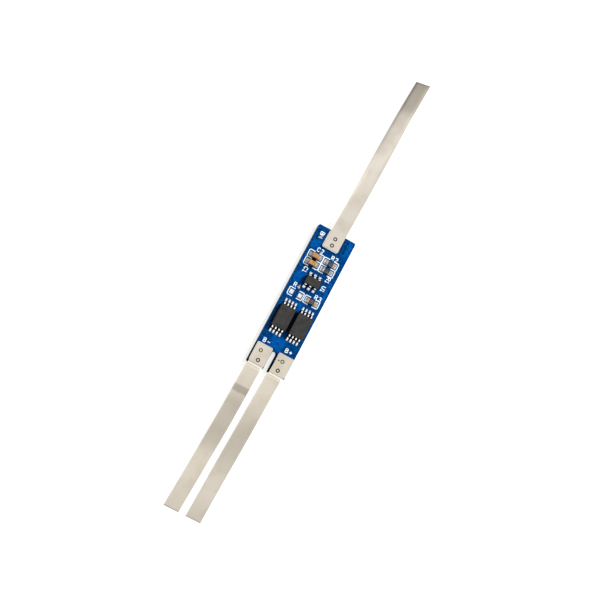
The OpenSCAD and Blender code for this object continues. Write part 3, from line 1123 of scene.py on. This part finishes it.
@dataclass
class GullLeads:
    """Bent leads on both sides of a package, with a solder fillet at each toe."""

    package: str
    count: int
    pitch: float
    width: float
    foot: float
    thickness: float = 0.15
    bend: float = 0.16
    turns: int = 6
    root: float = 0.1
    flat: float = 0.04
    edge: float = 0.02
    toe_reach: float = 0.112
    toe_height: float = 0.13
    toe_width: float = 1.14

    def stations(self, root: float, toe: float, shoulder: float, ground: float) -> list[Station]:
        """The lead's stations, outwards from the body.

        Args:
            root: distance of its root from the package's middle, in millimetres.
            toe: the same for its toe.
            shoulder: height of its upper level.
            ground: height of its foot.

        Returns:
            The stations of the lead's middle.
        """
        bend = self.bend
        knee = toe - self.foot - 2 * bend
        arc = [math.pi / 2 * i / self.turns for i in range(self.turns + 1)]
        down = [
            Station(knee + bend * math.sin(a), shoulder - bend * (1 - math.cos(a))) for a in arc
        ]
        out = [
            Station(knee + bend * (2 - math.cos(a)), ground + bend * (1 - math.sin(a)))
            for a in arc
        ]
        head = [Station(root, shoulder), Station(knee - self.flat, shoulder)]
        return head + down + out + [Station(toe - self.flat, ground), Station(toe, ground)]

    def build(self) -> None:
        """Bends one lead and one fillet and copies them to every place."""
        low, high = (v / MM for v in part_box(self.package + "_leads"))
        body_low, body_high = (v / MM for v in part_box(self.package + "_body"))
        middle = (low + high) / 2
        toe = (high.y - low.y) / 2
        half = self.thickness / 2
        root = (body_high.y - body_low.y) / 2 - self.root
        places = self.stations(root, toe, high.z - half, low.z + half)
        lead = Ribbon.lay("lead", places, self.width, self.thickness, 1)
        Bench.round_edges(lead, self.edge, 2, 50.0)
        Bench.smooth(lead)
        solder = SolderFillet(self.width * self.toe_width, self.toe_reach, self.toe_height)
        fillet = solder.shape(toe, low.z)
        for i in range(2 * self.count):
            turn = 180.0 * (i // self.count)
            column = i % self.count - (self.count - 1) / 2
            shift = place(middle.x + column * self.pitch, middle.y, 0.0)
            copy = Bench.twin(lead, f"{self.package}_lead_{i + 1}", shift, turn)
            Bench.hand_over(copy, Finish.LEAD, "lead_metal", self.package + "_leads")
            copy = Bench.twin(fillet, f"{self.package}_toe_{i + 1}", shift, turn)
            Bench.hand_over(copy, Finish.SOLDER, "solder", self.package + "_solder")
        for template in (lead, fillet):
            bpy.data.objects.remove(template)


@dataclass
class ChipPart:
    """A capacitor or resistor: ceramic core, two metal ends and their solder."""

    name: str
    core: Finish
    ends: tuple[Finish, Finish]
    slot: str
    solder_node: str
    edge: float
    end: float
    coat: Finish | None = None
    reach: float = 0.34
    rise: float = 0.7
    core_share: float = 0.6
    solder_width: float = 0.96
    coat_rise: float = 0.012
    coat_edge: float = 0.02

    def build(self) -> None:
        """Shapes the chip over its CAD nodes' boxes."""
        low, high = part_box(self.name + "_ends")
        core = Bench.block(self.name + "_core", *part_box(self.name + "_ceramic"))
        Bench.round_edges(core, self.edge * self.core_share, 2)
        self.complete(core, self.core, self.slot, "_ceramic")
        for side, word, metal in ((1, "right", self.ends[1]), (-1, "left", self.ends[0])):
            near, far = low.copy(), high.copy()
            if side > 0:
                near.x = high.x - self.end * MM
            else:
                far.x = low.x + self.end * MM
            cap = Bench.block(f"{self.name}_{word}_end", near, far)
            Bench.round_edges(cap, self.edge)
            self.complete(cap, metal, "lead_metal", "_ends")
            self.solder(f"{self.name}_{word}_solder", low, high, -90.0 * side)
        if self.coat:
            base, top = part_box(self.name + "_coat")
            skin = Bench.block(self.name + "_skin", base, top + place(0, 0, self.coat_rise))
            Bench.round_edges(skin, self.coat_edge)
            self.complete(skin, self.coat, "resistor_coat", "_coat")

    def complete(self, piece: Piece, finish: Finish, slot: str, ending: str) -> None:
        """Shades a piece and hands it over for the node with a given ending."""
        Bench.smooth(piece)
        Bench.hand_over(piece, finish, slot, self.name + ending)

    def solder(self, name: str, low: Vector, high: Vector, turn: float) -> None:
        """Adds the solder at one end.

        Args:
            name: the piece's name.
            low: lowest corner of the two metal ends in metres.
            high: their highest corner.
            turn: the end's turn from +Y in degrees.
        """
        length, width, height = (high - low) / MM
        shape = SolderFillet(width * self.solder_width, self.reach, height * self.rise)
        fillet = shape.shape(length / 2, low.z / MM)
        middle = (low + high) / 2
        copy = Bench.twin(fillet, name, Vector((middle.x, middle.y, 0.0)), turn)
        bpy.data.objects.remove(fillet)
        Bench.hand_over(copy, Finish.JOINT, "solder", self.solder_node)


# The strokes of each printed character, their points in hundredths of its height.
STROKES: dict[str, tuple[tuple[tuple[int, int], ...], ...]] = {
    "B": (
        ((0, 0), (0, 100), (38, 100), (55, 94), (60, 77), (55, 60), (38, 53), (0, 53)),
        ((38, 53), (58, 46), (65, 27), (58, 7), (38, 0), (0, 0)),
    ),
    "C": (
        ((64, 80), (52, 95), (34, 100), (15, 93), (3, 74), (0, 50), (3, 26), (15, 7), (34, 0),
         (52, 5), (64, 20)),
    ),
    "M": (((0, 0), (0, 100), (36, 35), (72, 100), (72, 0)),),
    "R": (
        ((0, 0), (0, 100), (40, 100), (58, 94), (64, 76), (58, 57), (40, 50), (0, 50)),
        ((34, 50), (64, 0)),
    ),
    "U": (((0, 100), (0, 30), (8, 10), (24, 0), (42, 0), (58, 10), (66, 30), (66, 100)),),
    "1": (((10, 76), (30, 100), (30, 0)), ((6, 0), (54, 0))),
    "2": (((2, 76), (10, 93), (30, 100), (50, 95), (60, 80), (57, 60), (0, 0), (64, 0)),),
    "3": (
        ((4, 88), (16, 98), (36, 100), (54, 93), (60, 77), (54, 60), (30, 53)),
        ((30, 53), (57, 45), (64, 27), (57, 8), (36, 0), (14, 3), (2, 14)),
    ),
    "4": (((48, 0), (48, 100), (0, 30), (66, 30)),),
    "+": (((2, 44), (74, 44)), ((38, 8), (38, 80))),
    "-": (((10, 44), (76, 44)),),
}


@dataclass(frozen=True)
class Mark:
    """A printed mark: its characters and its lower left corner on the board in mm."""

    word: str
    x: float
    y: float
    reading: Reading = Reading.UPRIGHT


@dataclass
class Legend:
    """White print on the board: component numbers and pole marks drawn in strokes."""

    surface: float = 1.0
    tall: float = 0.7
    stroke: float = 0.155
    thick: float = 0.024
    sunk: float = 0.3
    marks: tuple[Mark, ...] = (
        Mark("BM", -2.8, 12.82, Reading.DOWNWARD),
        Mark("C2", -1.92, 9.32),
        Mark("R2", 1.07, 9.2),
        Mark("C1", -2.5, 5.85, Reading.DOWNWARD),
        Mark("R1", 2.02, 6.06, Reading.DOWNWARD),
        Mark("U1", 2.0, 4.26, Reading.DOWNWARD),
        Mark("R4", -2.7, 1.8),
        Mark("R3", 1.72, 1.53),
        Mark("B-", -2.84, -9.45),
        Mark("B+", 1.55, -9.3),
    )

    def build(self) -> None:
        """Draws each mark as one flat piece of ink."""
        for number, mark in enumerate(self.marks, 1):
            self.draw(f"print_mark_{number}", mark)

    def draw(self, name: str, mark: Mark) -> None:
        """Draws one mark.

        Args:
            name: the piece's name.
            mark: what it says and where.
        """
        turn, pitch = mark.reading.value
        curve = bpy.data.curves.new(name, "CURVE")
        curve.dimensions = "3D"
        curve.bevel_depth = self.stroke / 2 * MM
        curve.bevel_resolution = 2
        curve.use_fill_caps = True
        for index, sign in enumerate(mark.word):
            for line in STROKES[sign]:
                spline = curve.splines.new("POLY")
                spline.points.add(len(line) - 1)
                for point, (u, v) in zip(spline.points, line):
                    x, y = (index * pitch + u / 100) * self.tall, v / 100 * self.tall
                    point.co = (x * MM, y * MM, 0.0, 1.0)
        drawn = bpy.data.objects.new(name, curve)
        bpy.context.scene.collection.objects.link(drawn)
        drawn.rotation_euler = (0.0, 0.0, math.radians(turn))
        drawn.location = place(mark.x, mark.y, self.surface + self.thick * self.sunk)
        Bench.activate(drawn)
        bpy.ops.object.convert(target="MESH")
        piece = Bench.settle(name, (1.0, 1.0, self.thick / self.stroke))
        Bench.clean(piece)
        Bench.smooth(piece, 60.0)
        Bench.hand_over(piece, Finish.INK, "print")


@dataclass
class Vias:
    """Vias through the board in two rows: shallow rings under the mask, coloured near black as painted
    shade for their holes.
    """

    surface: float = 1.0
    ring: float = 0.085
    rim: float = 0.075
    flatness: float = 0.35
    start: float = 13.05
    pitch: float = 0.45
    rows: tuple[tuple[float, ...], ...] = (
        (2.46, 2.4, 2.5, 2.44, 2.5),
        (-3.0, -3.12, -3.02, -3.12, -3.02),
    )

    def build(self) -> None:
        """Models one ring and copies it to every place."""
        ring = Bench.add(
            bpy.ops.mesh.primitive_torus_add,
            "via",
            (1.0, 1.0, self.flatness),
            major_radius=self.ring * MM,
            minor_radius=self.rim * MM,
            major_segments=28,
            minor_segments=8,
        )
        Bench.smooth(ring, 80.0)
        holes = [(x, self.start - i * self.pitch) for row in self.rows for i, x in enumerate(row)]
        for number, (x, y) in enumerate(holes, 1):
            via_ring = Bench.twin(ring, f"via_{number}", place(x, y, self.surface))
            Bench.hand_over(via_ring, Finish.PLUG, "board")
        bpy.data.objects.remove(ring)


@dataclass
class CarriedOver:
    """The CAD nodes with their finishes, by the endings of their names, the first that fits."""

    rules: tuple[tuple[Finish, tuple[str, ...]], ...] = (
        (Finish.MASK, ("pcb",)),
        (Finish.INK, ("printed_frames",)),
        (Finish.NICKEL, ("_tab", "_strip")),
        (Finish.PAD, ("_pads",)),
        (Finish.SOLDER, ("_solder", "pad_crowns")),
        (Finish.LEAD, ("_leads",)),
        (Finish.MOULD, ("_body",)),
        (Finish.END, ("_ends",)),
        (Finish.COAT, ("_coat",)),
        (Finish.ALUMINA, ("res_1_ceramic", "res_2_ceramic", "res_3_ceramic")),
        (Finish.CERAMIC, ("_ceramic",)),
    )

    def dress(self) -> None:
        """Gives every CAD node its material."""
        for name, node in sorted(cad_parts.items()):
            finish = next(finish for finish, endings in self.rules if name.endswith(endings))
            Bench.dress(node, finish)
            log.info("%s: %s", name, finish.material.name)


# ---- studio


@dataclass
class Studio:
    """Floor, light and camera."""

    eye: Triple = (-21.452, -19.121, 158.439)
    look: Triple = (0.13155, 0.12009, -0.98401)
    up: Triple = (-0.48061, 0.87590, 0.04265)
    sensor: float = 36.0
    lens: float = 54.0
    floor_size: float = 6.0
    floor_gap: float = 0.03
    floor_colour: Colour = (0.8, 0.8, 0.8)
    floor_glow: float = 0.7
    key_way: Triple = (0.41, 0.58, 0.6)
    key_far: float = 0.42
    key_size: float = 0.12
    key_power: float = 1.6
    bright_way: Triple = (0.45, -0.35, 0.82)
    bright_band: tuple[float, float] = (-0.35, 0.75)
    sky_low: float = 0.2
    sky_high: float = 0.75
    sky_share: float = 0.5
    mirror_share: float = 1.21
    window: float = 0.2
    window_side: tuple[float, float] = (0.3, 0.7)
    window_foot: tuple[float, float] = (-0.1, 0.02)
    window_head: tuple[float, float] = (0.3, 0.6)
    box_way: Triple = (-0.57, 0.33, 0.755)
    box_band: tuple[float, float] = (0.866, 0.97)
    box_glow: float = 0.5

    def build(self) -> None:
        """Sets up floor, world, lamp and camera."""
        self.floor()
        self.world()
        self.lamp()
        self.camera()

    @staticmethod
    def rays(s: Shader) -> tuple[Value, Value]:
        """Masks of what the camera sees and of what is mirrored in the pieces."""
        path = s.node("LightPath").outputs
        return Value(s, path["Is Camera Ray"]), Value(s, path["Is Glossy Ray"])

    def floor(self) -> None:
        """Pale floor that the board lies on."""
        plane = bpy.ops.mesh.primitive_plane_add
        below = place(0, 0, -self.floor_gap)
        floor = Bench.add(plane, "floor", size=self.floor_size, location=below)
        s = Shader("pale_floor")
        seen, mirrored = self.rays(s)
        matt = s.node("BsdfDiffuse", None, {"Color": self.floor_colour})
        dark = s.node("Emission", None, {"Strength": 0.0})
        white = s.node("Emission", None, {"Strength": self.floor_glow})
        choice = {0: seen.larger(mirrored), 1: dark.outputs[0], 2: white.outputs[0]}
        glow = s.node("MixShader", None, choice)
        both = s.node("AddShader", None, {0: matt.outputs[0], 1: glow.outputs[0]})
        s.node("OutputMaterial", None, {0: both.outputs[0]})
        floor.data.materials.append(s.owner)

    @staticmethod
    def towards(s: Shader, way: Socket, aim: Sequence[float]) -> Value:
        """How far a ray runs along a direction: 1 straight along it, 0 across it."""
        sockets = {0: way, 1: Vector(aim).normalized()}
        return s.value("VectorMath", {"operation": "DOT_PRODUCT"}, sockets, "Value")

    def world(self) -> None:
        """Soft surroundings, white to the camera, that the metal mirrors more brightly."""
        world = bpy.data.worlds.new("surroundings")
        bpy.context.scene.world = world
        s = Shader(world)
        way = s.node("TexCoord").outputs["Generated"]
        parts = s.node("SeparateXYZ", None, {0: way}).outputs
        y, z = Value(s, parts["Y"]), Value(s, parts["Z"])
        overhead = self.towards(s, way, self.bright_way).step(*self.bright_band)
        sky = self.sky_low + (self.sky_high - self.sky_low) * overhead
        window = (0 - y).step(*self.window_side) * z.step(*self.window_foot)
        window = window * (1 - z.step(*self.window_head)) * self.window
        softbox = self.towards(s, way, self.box_way).step(*self.box_band) * self.box_glow
        seen, mirrored = self.rays(s)
        share = self.sky_share + (self.mirror_share - self.sky_share) * mirrored
        light = sky * share + (window + softbox) * mirrored
        sockets = {"Color": (1.0, 1.0, 1.0), "Strength": light * (1 - seen) + seen}
        back = s.node("Background", None, sockets)
        s.node("OutputWorld", None, {0: back.outputs[0]})

    def lamp(self) -> None:
        """One soft lamp from the link end that the metal doesn't mirror."""
        light = bpy.data.lights.new("key", "AREA")
        light.shape = "DISK"
        light.size = self.key_size
        light.energy = self.key_power
        lamp = bpy.data.objects.new("key", light)
        bpy.context.scene.collection.objects.link(lamp)
        way = Vector(self.key_way).normalized()
        lamp.visible_glossy = False
        lamp.location = way * self.key_far
        lamp.rotation_mode = "QUATERNION"
        lamp.rotation_quaternion = way.to_track_quat("Z", "Y")

    def camera(self) -> None:
        """Camera almost straight above the board."""
        data = bpy.data.cameras.new("camera")
        data.sensor_width = self.sensor
        data.lens = self.lens
        data.clip_start = 0.005
        data.clip_end = 20.0
        camera = bpy.data.objects.new("camera", data)
        bpy.context.scene.collection.objects.link(camera)
        back = -Vector(self.look).normalized()
        up = (Vector(self.up) - back * Vector(self.up).dot(back)).normalized()
        turn = Matrix((up.cross(back), up, back)).transposed()
        camera.matrix_world = Matrix.Translation(Vector(self.eye) * MM) @ turn.to_4x4()
        bpy.context.scene.camera = camera
        bpy.context.scene.view_settings.view_transform = "Standard"


def middle_of(node: str) -> float:
    """Sideways middle of a CAD node in millimetres."""
    low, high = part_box(node)
    return (low.x + high.x) / 2 / MM


def build_strips() -> None:
    """Builds the link strip and the two cell strips on their tabs."""
    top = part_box("link_tab")[1].z / MM + NickelStrip.thickness
    neg, pos = middle_of("neg_tab"), middle_of("pos_tab")
    welds = (Weld(0.0, 12.68), Weld(0.0, 11.4))
    LinkStrip("link_strip", Finish.NICKEL, welds, top).build()
    welds = (Weld(neg - 0.38, -11.07, Finish.TINTED_WELD), Weld(neg, -12.83))
    CellStrip("neg_strip", Finish.NEG_NICKEL, welds, top, side=neg).build()
    welds = (
        Weld(pos - 0.32, -11.07, Finish.TINTED_WELD),
        Weld(pos - 0.32, -12.83),
        Weld(pos - 1.02, -11.16, size=0.2),
    )
    CellStrip("pos_strip", Finish.POS_NICKEL, welds, top, side=pos, bow=0.8).build()


def build_chip_parts() -> None:
    """Builds the two capacitors and the three resistors."""
    # left end with painted shade, right end with painted light
    ends = (Finish.DARK_END, Finish.PALE_END)
    for name in ("cap_1", "cap_2"):
        slots = ("capacitor_ceramic", "cap_solder")
        ChipPart(name, Finish.CERAMIC, ends, *slots, edge=0.06, end=0.16).build()
    grey = ((Finish.END, Finish.WARM_END), Finish.COAT)
    brown = ((Finish.TAN_END, Finish.TAN_END), Finish.BROWN_COAT)
    for name, (ends, coat) in (("res_1", grey), ("res_2", grey), ("res_3", brown)):
        slots = ("alumina", "res_solder")
        ChipPart(name, Finish.ALUMINA, ends, *slots, edge=0.05, end=0.32, coat=coat).build()


def main() -> None:
    """Builds the pieces in order."""
    logging.basicConfig(level=logging.INFO, format="%(message)s")
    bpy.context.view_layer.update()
    CarriedOver().dress()
    build_strips()
    for node in ("fet_1_body", "fet_2_body", "chip_body"):
        MouldedPackage(node).build()
    for package in ("fet_1", "fet_2"):
        GullLeads(package, count=4, pitch=0.65, width=0.25, foot=0.42).build()
    GullLeads("chip", count=3, pitch=0.95, width=0.38, foot=0.2).build()
    build_chip_parts()
    Legend().build()
    Vias().build()
    Studio().build()


if __name__ == "__main__":
    main()
